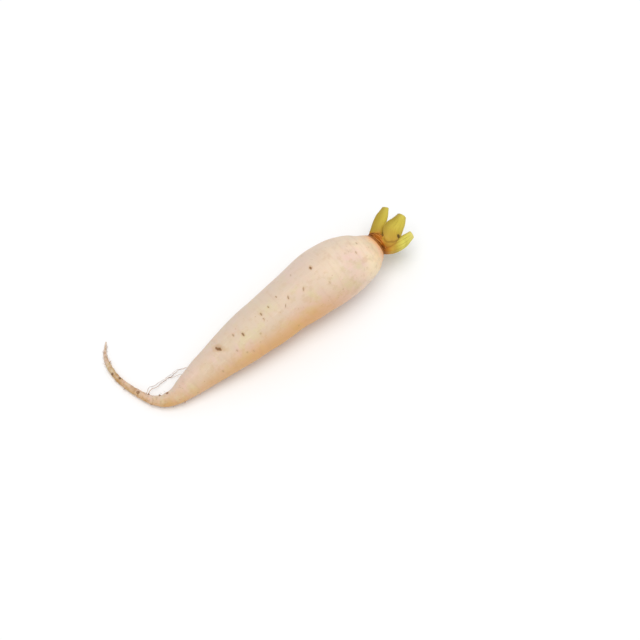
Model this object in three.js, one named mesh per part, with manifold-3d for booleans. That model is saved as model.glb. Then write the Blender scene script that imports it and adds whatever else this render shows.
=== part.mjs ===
// A daikon radish as it is sold: one long pale root with its tail, and a crown of trimmed leaf stubs.
// It lies on its side. +X points to the crown, the tail curls to +Y and +Z is up. Sizes are in millimetres.
// The origin is on the surface that the root lies on, below the middle of the whole radish.
import * as THREE from "three";
import { mergeVertices } from "three/addons/utils/BufferGeometryUtils.js";
import Module from "manifold-3d";

const wasm = await Module();
wasm.setup();

// ---- Driving dimensions ----

const CLEARANCE = 0.3; // between pieces that touch
const CROWN_SEAT = new THREE.Vector3(114.5, -30, 31.5); // centre of the root's top, where the leaves grew

// The root from its top to the tip of its tail, one row for each section:
// distance behind the crown seat, offset to the side, height of the centre, and radius.
const ROOT_SECTIONS = [
  [0, 0, 31.5, 11],
  [8, -0.6, 31.3, 16.9],
  [19, -1, 31, 23.3],
  [38, 1.5, 30.4, 28.8],
  [57, 3.6, 29.6, 30],
  [78, 4, 28, 28.2],
  [100, 3.8, 26.2, 25.6],
  [125, 2.9, 24.2, 23.9],
  [150, 2.4, 22, 21.8],
  [170, 1.6, 19.2, 18.9],
  [187, 1.3, 16.1, 16.1],
  [203, 0.9, 13.6, 13.6],
  [218, 0.3, 10.6, 10.6],
  [229, 0.6, 8.2, 7.9],
  [237, 3, 6.7, 6.4],
  [243, 7, 5.3, 5],
  [249, 15, 4, 3.7],
  [253, 25, 3.5, 3.3],
  [257, 37, 2.9, 2.9],
  [259.5, 50, 2.5, 2.6],
  [259, 63, 2.3, 2.4],
  [256.5, 73, 1.9, 1.8],
  [252, 80, 1.5, 1.2],
  [247, 86, 1.2, 0.6],
];

// Scars where side roots fell off: distance behind the crown seat, angle round the root, and width.
// The angle is 0 on top and grows towards the side that the tail curls to.
const SCARS = [
  [21, 10, 3.4],
  [27, -10, 3.6],
  [62, -34, 3.4],
  [68, 8, 5],
  [85, -16, 4.4],
  [85, 26, 3.2],
  [100, -10, 4.2],
  [107, -20, 4],
  [108, 8, 3.2],
  [119, 2, 3.4],
  [128, 0, 4.4],
  [129, -12, 3.2],
  [151, -10, 4.6],
  [152, -60, 3.8],
  [157, 6, 4],
  [163, -32, 3.4],
  [174, 8, 7.5],
  [183, -58, 4],
];
const HIDDEN_SCARS = 18; // as many again on the sides and underneath, placed by a seeded rule
const SCAR_SEED = 7;
const SCAR_LENGTH_SHARE = 0.42; // a scar is a slit across the root: this is its length along the root
const SCAR_DEPTH_SHARE = 0.2;

// Stumps of fine side roots: section number (with a fraction), angle, length and thickness.
const ROOTLETS = [
  [20.35, 74, 1.8, 1],
  [19.35, -34, 1, 1.3],
  [18.75, 24, 1, 1.3],
  [18, -74, 1.6, 1.1],
  [17, -6, 1.1, 1.5],
  [16.1, 58, 1.7, 1.2],
  [15.5, -70, 1.7, 1.2],
  [14.85, 44, 1.3, 1.4],
  [13.65, 30, 1.3, 1.4],
  [12.6, -84, 2, 1.4],
];
const ROOTLET_TIP_SHARE = 0.55;
const ROOTLET_SIDES = 5;

// The crown: a short woody neck on the crown seat, ringed by the scars of older leaves.
const CROWN_TURN = THREE.MathUtils.degToRad(9); // the neck turns a little to the tail's side
const CROWN_PROFILE = [
  // height above the seat, radius
  [0, 10.4],
  [1.5, 11.2],
  [4, 10.9],
  [6.6, 9.4],
  [9, 6.8],
  [10.4, 3.4],
];
const NECK_SIDES = 30;
const NECK_RINGS = 19;
const CREASE_SPACING = 2.4; // between the creases that ring the neck, one above the other
const CREASE_DEPTH = 0.55;

// Stumps of older leaves, fused to the neck: angle round it, width, length and outward lean.
const SCALES = [
  [-98, 11, 5.2, 0.3],
  [-38, 9, 2.6, 0.26],
  [44, 9, 2.8, 0.3],
  [112, 11, 4.4, 0.3],
  [178, 10, 5, 0.3],
];
const SCALE_THICKNESS = 1.8;

// Leaf stubs, the outer ones first. A path runs from inside the neck to the cut: along the neck's axis
// before its turn, to the side, and up, from the crown seat. Widths and depths run from base to cut.
const STUBS = [
  {
    name: "leaf_stub_right",
    path: [[1, -3.5, 0], [7.5, -7.8, -0.6], [15, -9.5, -1.4], [24, -9.6, -2.6], [33.2, -8.8, -4]],
    width: [14, 14, 12.8, 11, 8.6],
    depth: [9, 11.4, 13.6, 12.6, 9],
  },
  {
    name: "leaf_stub_left",
    path: [[1, 3, 0], [7.5, 6, 0.8], [14, 11, 1.8], [22.5, 16.3, 2.6], [30, 22, 3.2]],
    width: [14, 15, 13.6, 11.4, 8.4],
    depth: [12, 15.4, 14.4, 13.5, 7.8],
  },
  {
    name: "leaf_stub_top",
    path: [[2, -3, 2], [9.6, -6.4, 7], [17.8, -1.3, 8.6], [26.4, 1.5, 9.8], [33.6, 4.6, 10.4]],
    width: [14, 15.2, 18.8, 14.2, 9],
    depth: [7, 8.4, 8.8, 8.6, 7.4],
  },
  {
    name: "leaf_stub_low_left",
    path: [[1, 3, -4], [8, 6.8, -8], [15, 11, -10.4], [22, 14.6, -11.4]],
    width: [13, 13.4, 11, 9],
    depth: [7.4, 9, 8.2, 6.6],
  },
  {
    name: "leaf_stub_low_right",
    path: [[1, -2.6, -4], [8, -3.8, -8.6], [15, -3.6, -12], [25, -0.6, -13.8]],
    width: [13, 13.4, 11.6, 8.4],
    depth: [7.4, 9, 8.2, 6.2],
  },
  {
    name: "leaf_stub_heart",
    path: [[5, 1.4, -0.4], [11, 3, -0.2], [16, 5, 0], [21, 7, 0.4]],
    width: [7, 8.4, 7.4, 5],
    depth: [6, 7, 6.4, 5],
  },
];
const STUB_SIDES = 16;
const STUB_RINGS = 9;

// Numbers of sides and ring spacings for the root's mesh
const SIDES_BY_RADIUS = [
  [12, 36],
  [4.5, 24],
  [0, 12],
];
const RING_STEP = 1.3;
const RING_STEP_PER_RADIUS = 0.14;

// ---- Materials ----

const material = (color, roughness) =>
  new THREE.MeshStandardMaterial({ color, roughness, metalness: 0 });
const rootSkin = material(0xecd8c2, 0.45);
const crownBark = material(0x9a5a26, 0.7);
const stalkGreen = material(0xc2b047, 0.5);

// ---- Solids ----

// The closed solid of a geometry whose seams and caps share their corners.
function solidOf(geometry) {
  const bare = geometry.clone();
  bare.deleteAttribute("normal");
  bare.deleteAttribute("uv");
  const merged = mergeVertices(bare, 1e-4);
  return new wasm.Manifold(
    new wasm.Mesh({
      numProp: 3,
      vertProperties: new Float32Array(merged.attributes.position.array),
      triVerts: new Uint32Array(merged.index.array),
    }),
  );
}

// A mesh made from a solid. What a cut has left loose is dropped.
function meshOf(solid, name, meshMaterial) {
  const body = solid.decompose().sort((a, b) => b.volume() - a.volume())[0];
  const { vertProperties, triVerts } = body.getMesh();
  const geometry = new THREE.BufferGeometry()
    .setAttribute("position", new THREE.BufferAttribute(new Float32Array(vertProperties), 3))
    .setIndex(new THREE.BufferAttribute(new Uint32Array(triVerts), 1));
  const mesh = new THREE.Mesh(geometry.toNonIndexed(), meshMaterial);
  mesh.geometry.computeVertexNormals();
  mesh.name = name;
  return mesh;
}

// Triangles between two rings of points that both start at angle 0, even where their numbers differ.
function bridge(triangles, low, high) {
  let i = 0;
  let j = 0;
  while (i < low.count || j < high.count) {
    const a = low.start + (i % low.count);
    const b = high.start + (j % high.count);
    if (j >= high.count || (i < low.count && (i + 1) / low.count <= (j + 1) / high.count)) {
      triangles.push(a, b, low.start + (++i % low.count));
    } else {
      triangles.push(a, b, high.start + (++j % high.count));
    }
  }
}

// A closed skin over a row of rings. A ring is a list of points, counter-clockwise about the way the row runs.
function loft(rings) {
  const points = rings.flat();
  const triangles = [];
  const spans = [];
  let start = 0;
  for (const ring of rings) {
    spans.push({ start, count: ring.length });
    start += ring.length;
  }
  for (let k = 1; k < spans.length; k++) bridge(triangles, spans[k - 1], spans[k]);
  for (const [ring, span, flip] of [
    [rings[0], spans[0], false],
    [rings.at(-1), spans.at(-1), true],
  ]) {
    const middle = points.push(centreOf(ring)) - 1;
    for (let i = 0; i < span.count; i++) {
      const a = span.start + i;
      const b = span.start + ((i + 1) % span.count);
      triangles.push(middle, ...(flip ? [b, a] : [a, b]));
    }
  }
  const geometry = new THREE.BufferGeometry().setFromPoints(points);
  geometry.setIndex(triangles);
  const solid = solidOf(geometry);
  return solid.volume() > 0 ? solid : solidOf(geometry.setIndex(triangles.toReversed()));
}

function centreOf(ring) {
  return ring.reduce((sum, p) => sum.add(p), new THREE.Vector3()).divideScalar(ring.length);
}

// A smooth curve through rows of up to three numbers, read at a row number with a fraction.
function through(rows) {
  const curve = new THREE.CatmullRomCurve3(
    rows.map((row) => new THREE.Vector3(...row)),
    false,
    "catmullrom",
    0.5,
  );
  return (row) => curve.getPoint(THREE.MathUtils.clamp(row / (rows.length - 1), 0, 1));
}

// Repeatable random numbers from 0 to 1
function seeded(seed) {
  let state = seed;
  return () => {
    state = (state * 16807) % 2147483647;
    return state / 2147483647;
  };
}

// ---- Root ----

const rootCentre = through(
  ROOT_SECTIONS.map(([back, side, height]) => [CROWN_SEAT.x - back, CROWN_SEAT.y + side, height]),
);
const rootRadius = through(ROOT_SECTIONS.map(([, , , radius]) => [radius, 0, 0]));
const LAST_SECTION = ROOT_SECTIONS.length - 1;

// Centre, radius and directions of the root at a section number: along the root, to the side and up.
function rootFrame(section) {
  const reach = 0.02;
  const along = rootCentre(Math.min(section + reach, LAST_SECTION))
    .sub(rootCentre(Math.max(section - reach, 0)))
    .normalize();
  const side = along.clone().cross(new THREE.Vector3(0, 0, 1)).normalize();
  const up = side.clone().cross(along);
  return { centre: rootCentre(section), radius: rootRadius(section).x, along, side, up };
}

// The section number at a distance behind the crown seat, for the part of the root before the bend
function sectionAt(back) {
  const next = ROOT_SECTIONS.findIndex(([distance]) => distance >= back);
  const [from, to] = [ROOT_SECTIONS[next - 1][0], ROOT_SECTIONS[next][0]];
  return next - 1 + (back - from) / (to - from);
}

// How far the root is from round: slow lobes and swellings, as a share of its radius
function unevenness(section, angle) {
  return (
    0.014 * Math.sin(2 * angle + 0.5 * section + 1) +
    0.009 * Math.sin(3 * angle - 0.8 * section) +
    0.006 * Math.sin(4.2 * section + angle)
  );
}

// A point of the root's skin with its outward direction
function onRoot(section, angle) {
  const { centre, radius, along, side, up } = rootFrame(section);
  const outward = up.multiplyScalar(Math.cos(angle)).addScaledVector(side, Math.sin(angle));
  const point = centre.addScaledVector(outward, radius * (1 + unevenness(section, angle)));
  return { point, outward, along };
}

function rootRing(section) {
  const { radius } = rootFrame(section);
  const sides = SIDES_BY_RADIUS.find(([least]) => radius >= least)[1];
  return Array.from({ length: sides }, (_, i) => {
    const { point } = onRoot(section, (2 * Math.PI * i) / sides);
    point.z = Math.max(point.z, 0); // the small flat spots that the root lies on
    return point;
  });
}

// Section numbers of the mesh's rings, closer together where the root is thin
function rootRingSections() {
  const sections = [0];
  const fine = 0.01;
  let travelled = 0;
  for (let section = fine; section < LAST_SECTION; section += fine) {
    travelled += rootCentre(section).distanceTo(rootCentre(section - fine));
    if (travelled >= RING_STEP + RING_STEP_PER_RADIUS * rootRadius(section).x) {
      sections.push(section);
      travelled = 0;
    }
  }
  return [...sections, LAST_SECTION];
}

// A slit-shaped pit across the root
function scar(section, angle, width) {
  const { point, outward, along } = onRoot(section, angle);
  const across = outward.clone().cross(along);
  const half = width / 2;
  const pit = new THREE.SphereGeometry(1, 8, 6).applyMatrix4(
    new THREE.Matrix4()
      .makeBasis(
        along.multiplyScalar(half * SCAR_LENGTH_SHARE),
        outward.multiplyScalar(width * SCAR_DEPTH_SHARE),
        across.multiplyScalar(-half),
      )
      .setPosition(point),
  );
  return solidOf(pit);
}

// A fine side root: it leaves the skin outwards, then trails towards the tail.
function rootlet(section, angle, length, thickness) {
  const { point, outward, along } = onRoot(section, angle);
  const across = outward.clone().cross(along);
  const rows = [-thickness, length * 0.35, length * 0.7, length];
  const rings = rows.map((reach, row) => {
    const trail = (0.6 * Math.max(reach, 0) ** 2) / length;
    const middle = point.clone().addScaledVector(outward, reach).addScaledVector(along, trail);
    const share = 1 - (1 - ROOTLET_TIP_SHARE) * (row / (rows.length - 1));
    return Array.from({ length: ROOTLET_SIDES }, (_, i) => {
      const turn = (2 * Math.PI * i) / ROOTLET_SIDES;
      return middle
        .clone()
        .addScaledVector(along, (thickness / 2) * share * Math.cos(turn))
        .addScaledVector(across, (thickness / 2) * share * Math.sin(turn));
    });
  });
  return loft(rings);
}

function rootSolid() {
  let root = loft(rootRingSections().map(rootRing));
  const random = seeded(SCAR_SEED);
  const hidden = Array.from({ length: HIDDEN_SCARS }, (_, i) => [
    24 + 165 * ((i + 0.7 * random()) / HIDDEN_SCARS),
    (i % 2 ? 95 : -125) + 60 * (random() - 0.5),
    3 + 2.4 * random(),
  ]);
  for (const [back, degrees, width] of [...SCARS, ...hidden]) {
    root = root.subtract(scar(sectionAt(back), THREE.MathUtils.degToRad(degrees), width));
  }
  for (const [section, degrees, length, thickness] of ROOTLETS) {
    root = root.add(rootlet(section, THREE.MathUtils.degToRad(degrees), length, thickness));
  }
  return root;
}

// ---- Crown ----

// The neck's frame: its axis, and the directions from which angles round it are counted
const crownAxis = new THREE.Vector3(Math.cos(CROWN_TURN), Math.sin(CROWN_TURN), 0);
const crownUp = new THREE.Vector3(0, 0, 1);
const crownSide = crownUp.clone().cross(crownAxis);

// A point of the neck from its height, distance from the axis and angle
function onNeck(height, distance, angle) {
  return CROWN_SEAT.clone()
    .addScaledVector(crownAxis, height)
    .addScaledVector(crownUp, distance * Math.cos(angle))
    .addScaledVector(crownSide, distance * Math.sin(angle));
}

const crownRadius = through(CROWN_PROFILE.map(([height, radius]) => [height, radius, 0]));

// Creases between old leaf bases: they ring the neck and wave a little as they go round.
function crease(height, angle) {
  const wave = 0.1 * Math.sin(5 * angle) + 0.06 * Math.sin(2 * angle + 1);
  return CREASE_DEPTH * (Math.abs(Math.cos(Math.PI * (height / CREASE_SPACING + wave))) - 0.6);
}

function neck(grow) {
  const rings = Array.from({ length: NECK_RINGS }, (_, ring) => {
    const share = ring / (NECK_RINGS - 1);
    const { x: height, y: radius } = crownRadius(share * (CROWN_PROFILE.length - 1));
    const fade = Math.min(1, 6 * share, 4 * (1 - share));
    return Array.from({ length: NECK_SIDES }, (_, i) => {
      const angle = (2 * Math.PI * i) / NECK_SIDES;
      const lift = ring ? height + grow : -3;
      return onNeck(lift, radius + fade * crease(height, angle) + grow, angle);
    });
  });
  return loft(rings);
}

// A leaf stump: a short curved blade that rises from the neck's rim and leans outwards.
function scale([degrees, width, length, lean], grow) {
  const middle = THREE.MathUtils.degToRad(degrees);
  const foot = CROWN_PROFILE[1][1];
  const rows = 3;
  const columns = 5;
  const rings = Array.from({ length: rows + 1 }, (_, row) => {
    const share = row / rows;
    const height = 1 + length * share + (share === 1 ? grow : 0);
    const half = (width / 2) * Math.sqrt(1 - 0.75 * share * share) + grow;
    const inner = foot - 1.4 + lean * length * share * share - grow;
    const outer = inner + SCALE_THICKNESS * (1 - 0.35 * share) + 2 * grow;
    const reach = (c) => middle + ((1 - (2 * c) / columns) * half) / foot;
    const outside = Array.from({ length: columns + 1 }, (_, c) => onNeck(height, outer, reach(c)));
    const inside = Array.from({ length: columns + 1 }, (_, c) => onNeck(height, inner, reach(columns - c)));
    return [...outside, ...inside];
  });
  return loft(rings);
}

// All the space behind the flat top of the root, moved forward by a distance
function behindSeat(forward) {
  const size = 60;
  const { along } = rootFrame(0);
  const middle = CROWN_SEAT.clone().addScaledVector(along, size / 2 - forward);
  const block = new THREE.BoxGeometry(size, size, size).applyMatrix4(
    new THREE.Matrix4().lookAt(new THREE.Vector3(), along, crownUp).setPosition(middle),
  );
  return solidOf(block);
}

function crownSolid(grow = 0) {
  const grown = SCALES.reduce((crown, spec) => crown.add(scale(spec, grow)), neck(grow));
  return grown.subtract(behindSeat(CLEARANCE - grow));
}

// ---- Leaf stubs ----

// A stalk's cross-section at an angle: rounded outside, nearly flat inside, with faint ribs.
// It gives the place across the stalk and the place away from the crown's axis, as shares of width and depth.
function stalkSection(turn) {
  const across = Math.cos(turn) / 2;
  const away = Math.sin(turn);
  if (away >= 0) return [across, 0.58 * away + 0.02 * Math.cos(6 * turn)];
  const channel = 0.24 * Math.pow(1 - 4 * across * across, 1.5);
  return [across, 0.42 * away + channel];
}

// Values spread evenly from the base to the cut, read at a share of the length
function spread(values, share) {
  return through(values.map((value) => [value, 0, 0]))((values.length - 1) * share).x;
}

function stubSolid({ path, width, depth }, grow = 0) {
  const centre = through(path.map((point) => new THREE.Vector3(...point).add(CROWN_SEAT).toArray()));
  const last = path.length - 1;
  const rings = [];
  for (let ring = 0; ring < STUB_RINGS; ring++) {
    const share = ring / (STUB_RINGS - 1);
    const here = centre(share * last);
    const along = centre(Math.min(share + 0.02, 1) * last)
      .sub(centre(Math.max(share - 0.02, 0) * last))
      .normalize();
    const fromAxis = here.clone().sub(CROWN_SEAT);
    fromAxis.addScaledVector(crownAxis, -fromAxis.dot(crownAxis));
    const away = fromAxis.addScaledVector(along, -fromAxis.dot(along)).normalize();
    const across = along.clone().cross(away);
    const w = spread(width, share) + 2 * grow;
    const d = spread(depth, share) + 2 * grow;
    rings.push(
      Array.from({ length: STUB_SIDES }, (_, i) => {
        const [x, y] = stalkSection((2 * Math.PI * i) / STUB_SIDES);
        return here.clone().addScaledVector(across, x * w).addScaledVector(away, y * d);
      }),
    );
  }
  return loft(rings);
}

// ---- The radish ----

const daikon = new THREE.Group();
daikon.add(meshOf(rootSolid(), "root", rootSkin));
daikon.add(meshOf(crownSolid(), "crown", crownBark));

let taken = crownSolid(CLEARANCE);
for (const spec of STUBS) {
  daikon.add(meshOf(stubSolid(spec).subtract(taken), spec.name, stalkGreen));
  taken = taken.add(stubSolid(spec, CLEARANCE));
}

export default daikon;
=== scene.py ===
import math
import random

import bpy
import numpy as np
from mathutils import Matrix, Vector, noise


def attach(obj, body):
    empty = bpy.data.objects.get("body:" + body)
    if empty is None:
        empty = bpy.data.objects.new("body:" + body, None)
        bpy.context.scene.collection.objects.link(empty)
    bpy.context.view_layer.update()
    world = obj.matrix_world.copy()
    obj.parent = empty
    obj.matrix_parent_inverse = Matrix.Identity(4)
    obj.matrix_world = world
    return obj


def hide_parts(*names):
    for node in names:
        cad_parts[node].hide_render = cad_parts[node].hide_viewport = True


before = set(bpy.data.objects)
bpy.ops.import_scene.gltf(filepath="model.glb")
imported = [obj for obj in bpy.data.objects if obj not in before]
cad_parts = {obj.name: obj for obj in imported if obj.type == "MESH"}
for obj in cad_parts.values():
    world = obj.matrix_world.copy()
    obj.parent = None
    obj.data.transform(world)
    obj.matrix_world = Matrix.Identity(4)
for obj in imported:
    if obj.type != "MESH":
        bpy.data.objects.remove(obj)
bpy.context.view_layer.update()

# ---- The view ----
# A lens of moderate length looks down on the radish from over its side, so that it lies
# across the picture from the tail at the lower left to the leaf stubs at the upper right.

VIEW_TURN = math.radians(-38)
VIEW_RISE = math.radians(65)
VIEW_DISTANCE = 1.395
VIEW_CENTRE = Vector((0.036, -0.0467, 0.0))

lens = bpy.data.cameras.new("lens")
lens.lens = 85
lens.sensor_width = 36
lens.clip_end = 100
camera = bpy.data.objects.new("camera", lens)
towards = Vector(
    (
        math.sin(VIEW_TURN) * math.cos(VIEW_RISE),
        -math.cos(VIEW_TURN) * math.cos(VIEW_RISE),
        math.sin(VIEW_RISE),
    )
)
camera.location = VIEW_CENTRE + towards * VIEW_DISTANCE
camera.rotation_mode = "QUATERNION"
camera.rotation_quaternion = (-towards).to_track_quat("-Z", "Y")
bpy.context.scene.collection.objects.link(camera)
bpy.context.scene.camera = camera

# ---- The root ----
# One long fleshy taproot: a blunt shoulder under the leaves, a body that thins slowly and a
# wiry tail that curls to one side. It grew as one piece, and it lies on its own small flat
# spots. The skin is smooth, with creases across it and slit scars where side roots fell off.

MM = 0.001
CROWN_SEAT = np.array([114.5, -30.0, 31.5])

# distance behind the crown seat, offset to the side, height of the centre, and radius
ROOT_SECTIONS = [
    (0, 0, 31.5, 11),
    (8, -0.6, 31.3, 16.9),
    (19, -1, 31, 23.3),
    (38, 1.5, 30.4, 28.8),
    (57, 3.6, 29.6, 30),
    (78, 4, 28, 28.2),
    (100, 3.8, 26.2, 25.6),
    (125, 2.9, 24.2, 23.9),
    (150, 2.4, 22, 21.8),
    (170, 1.6, 19.2, 18.9),
    (187, 1.3, 16.1, 16.1),
    (203, 0.9, 13.6, 13.6),
    (218, 0.3, 10.6, 10.6),
    (229, 0.6, 8.2, 7.9),
    (237, 3, 6.7, 6.4),
    (243, 7, 5.3, 5),
    (249, 15, 4, 3.7),
    (253, 25, 3.5, 3.3),
    (257, 37, 2.9, 2.9),
    (259.5, 50, 2.5, 2.6),
    (259, 63, 2.3, 2.4),
    (256.5, 73, 1.9, 1.8),
    (252, 80, 1.5, 1.2),
    (247, 86, 1.2, 0.6),
]
LAST_SECTION = len(ROOT_SECTIONS) - 1

# distance behind the crown seat, angle from the top towards the tail's side, width, darkness, and
# how much the slit slants
SCARS = [
    (21, 10, 3.4, 0.5, 0),
    (27, -10, 3.6, 0.45, 0),
    (62, -34, 3.4, 0.3, 0),
    (68, 8, 5, 0.85, -0.15),
    (85, -16, 4.4, 0.5, -0.6),
    (85, 26, 3.2, 0.4, -0.2),
    (100, -10, 4.2, 0.6, -0.3),
    (107, -20, 3.5, 0.55, -0.9),
    (108, 8, 3.2, 0.6, 0),
    (119, 2, 3.4, 0.6, -0.1),
    (128, 0, 4.4, 0.65, 0),
    (129, -12, 3.2, 0.5, 0),
    (151, -10, 5, 0.7, -0.1),
    (152, -60, 3.8, 0.35, 0),
    (157, 6, 4, 0.5, -0.15),
    (163, -32, 3.4, 0.4, 0),
    (174, 8, 9.4, 1, 0.36),
    (183, -58, 4, 0.4, 0),
]
HIDDEN_SCARS = 18
HIDDEN_SCARS_START = 24
HIDDEN_SCARS_REACH = 165
SCAR_SEED = 7

# stumps of fine side roots: section number, angle, length and thickness
ROOTLETS = [
    (20.35, 74, 1.8, 1),
    (19.35, -34, 1, 1.3),
    (18.75, 24, 1, 1.3),
    (18, -74, 1.6, 1.1),
    (17, -6, 1.1, 1.5),
    (16.1, 58, 1.7, 1.2),
    (15.5, -70, 1.7, 1.2),
    (14.85, 44, 1.3, 1.4),
    (13.65, 30, 1.3, 1.4),
    (12.6, -84, 2, 1.4),
]

# the skin's grid: points round it, and the space between its rows on the body and on the tail
ROOT_SIDES = 192
BODY_STEP = 0.85
TAIL_STEP = 0.6
TAIL_RADIUS = 8

SWELL_HEIGHT = 0.22
SWELL_LENGTH = 17.0
KNOT_HEIGHT = 0.16
CREASES = 240
CREASE_SEED = 11
CREASE_WIDTH = 0.75
# distance along the root, angle and half width in degrees
SHOULDER_CREASES = [(10, 5, 70), (14.5, -24, 60), (19, 30, 55), (26, 4, 50)]
SHOULDER_CREASE_WIDTH = 0.8
SHOULDER_CREASE_DEPTH = 0.13
SHOULDER_RING_HEIGHT = 0.22
SHOULDER_RING_TURN = 2.6  # radians of the wave to a millimetre

# a scar's slit, lips and dimple, as shares of its width
SLIT_HALF_WIDTH = 0.15
SLIT_HALF_LENGTH = 0.4
SLIT_DEPTH = 0.18
LIP_PLACE = 0.4
LIP_WIDTH = 0.16
LIP_HALF_LENGTH = 0.45
LIP_HEIGHT = 0.05
DIMPLE_RADIUS = 0.95
DIMPLE_DEPTH = 0.03

# the raised dark skin round the foot of a side root, which is paler low down on the side that
# the tail bends away from
COLLAR_HEIGHT = 0.45
COLLAR_RADIUS = 1.15  # in thicknesses of that side root
PALE_COLLAR_ANGLE = -60
PALE_COLLAR = 0.25

WARM_SHADE_SIDE = (0.0, -0.72, -0.69)  # the side where warm shade is painted on the skin, an orange tan
GREY_SHADE_SIDE = (0.0, 0.94, 0.34)  # the side where grey shade is painted on the skin


def spline(rows, at):
    """A smooth curve through rows of numbers, read at row numbers with fractions."""
    rows = np.asarray(rows, float)
    at = np.clip(np.asarray(at, float), 0, len(rows) - 1)
    padded = np.vstack([2 * rows[:1] - rows[1:2], rows, 2 * rows[-1:] - rows[-2:-1]])
    whole = np.minimum(at.astype(int), len(rows) - 2)
    t = (at - whole)[:, None]
    before, here, after, beyond = (padded[whole + k] for k in range(4))
    bend = 2 * before - 5 * here + 4 * after - beyond
    return here + 0.5 * t * (after - before + t * (bend + t * (3 * (here - after) + beyond - before)))


def unit(vectors):
    return vectors / np.linalg.norm(vectors, axis=-1, keepdims=True)


back, aside, height, root_radii = np.array(ROOT_SECTIONS, float).T
root_centres = np.stack([CROWN_SEAT[0] - back, CROWN_SEAT[1] + aside, height], -1)


def root_frame(sections):
    """Centres, radii and the directions along, to the side and up, at section numbers."""
    sections = np.asarray(sections, float)
    reach = 0.02
    along = unit(
        spline(root_centres, np.minimum(sections + reach, LAST_SECTION))
        - spline(root_centres, np.maximum(sections - reach, 0))
    )
    side = unit(np.cross(along, [0, 0, 1]))
    up = np.cross(side, along)
    radius = spline(root_radii[:, None], sections)
    return spline(root_centres, sections), radius, along, side, up


def unevenness(section, angle):
    """How far the root is from round, as a share of its radius."""
    return (
        0.014 * np.sin(2 * angle + 0.5 * section + 1)
        + 0.009 * np.sin(3 * angle - 0.8 * section)
        + 0.006 * np.sin(4.2 * section + angle)
    )


def smooth(low, high, value):
    """0 up to low, 1 from high on, and a soft step between; low may be the larger."""
    t = np.clip((value - low) / (high - low), 0, 1)
    return t * t * (3 - 2 * t)


def skin_mesh(name, shells):
    """A mesh of closed shells, each a grid of rings in millimetres with numbers for its points."""
    points, faces, kept = [], [], {}
    start = 0
    for rings, layers in shells:
        rows, sides = rings.shape[:2]
        ring = np.arange(sides)
        turned = (ring + 1) % sides
        row_starts = np.arange(rows - 1)[:, None] * sides
        corner = row_starts + ring
        beside = row_starts + turned
        quads = np.stack([corner, beside, beside + sides, corner + sides], -1).reshape(-1, 4)
        first_middle, last_middle = rows * sides, rows * sides + 1
        last_row = (rows - 1) * sides
        caps = np.vstack(
            [
                np.stack([np.full(sides, first_middle), turned, ring], -1),
                np.stack([np.full(sides, last_middle), last_row + ring, last_row + turned], -1),
            ]
        )
        own = np.vstack([rings.reshape(-1, 3), rings[[0, -1]].mean(1)])
        a, b, c, d = (own[quads[:, k]] for k in range(4))
        volume = np.einsum("ij,ij->", a + b + c + d, np.cross(c - a, d - b))
        if volume < 0:
            quads, caps = quads[:, ::-1], caps[:, ::-1]
        faces += (quads + start).tolist() + (caps + start).tolist()
        points.append(own)
        for key, values in layers.items():
            grid = np.broadcast_to(values, rings.shape[:2] + np.shape(values)[2:])
            ends = grid[[0, -1]].mean(1)
            kept.setdefault(key, []).append(
                np.concatenate([grid.reshape((rows * sides,) + grid.shape[2:]), ends])
            )
        start += len(own)
    mesh = bpy.data.meshes.new(name)
    mesh.from_pydata((np.vstack(points) * MM).tolist(), [], faces)
    for key, parts in kept.items():
        values = np.concatenate(parts)
        kind, field = ("FLOAT_VECTOR", "vector") if values.ndim == 2 else ("FLOAT", "value")
        attribute = mesh.attributes.new(key, kind, "POINT")
        attribute.data.foreach_set(field, values.astype(np.float32).ravel())
    mesh.polygons.foreach_set("use_smooth", np.ones(len(mesh.polygons), bool))
    mesh.update()
    return mesh


def show(name, mesh, coat, nodes):
    """A piece that stands for CAD nodes and rides where they do."""
    piece = bpy.data.objects.new(name, mesh)
    bpy.context.scene.collection.objects.link(piece)
    mesh.materials.clear()
    mesh.materials.append(coat)
    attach(piece, "root")
    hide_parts(*nodes)


class Socket:
    """An output of a node, which can stand in a sum."""

    def __init__(self, tree, link):
        self.tree = tree
        self.link = link

    def _sum(self, operation, first, second):
        vectors = any(isinstance(v, Socket) and v.link.type == "VECTOR" for v in (first, second))
        kind = "ShaderNodeVectorMath" if vectors else "ShaderNodeMath"
        return self.tree.node(kind, {"operation": operation}, [first, second])

    def __add__(self, other):
        return self._sum("ADD", self, other)

    def __radd__(self, other):
        return self._sum("ADD", other, self)

    def __sub__(self, other):
        return self._sum("SUBTRACT", self, other)

    def __rsub__(self, other):
        return self._sum("SUBTRACT", other, self)

    def __mul__(self, other):
        return self._sum("MULTIPLY", self, other)

    def __truediv__(self, other):
        return self._sum("DIVIDE", self, other)

    def __pow__(self, other):
        return self._sum("POWER", self, other)


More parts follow.
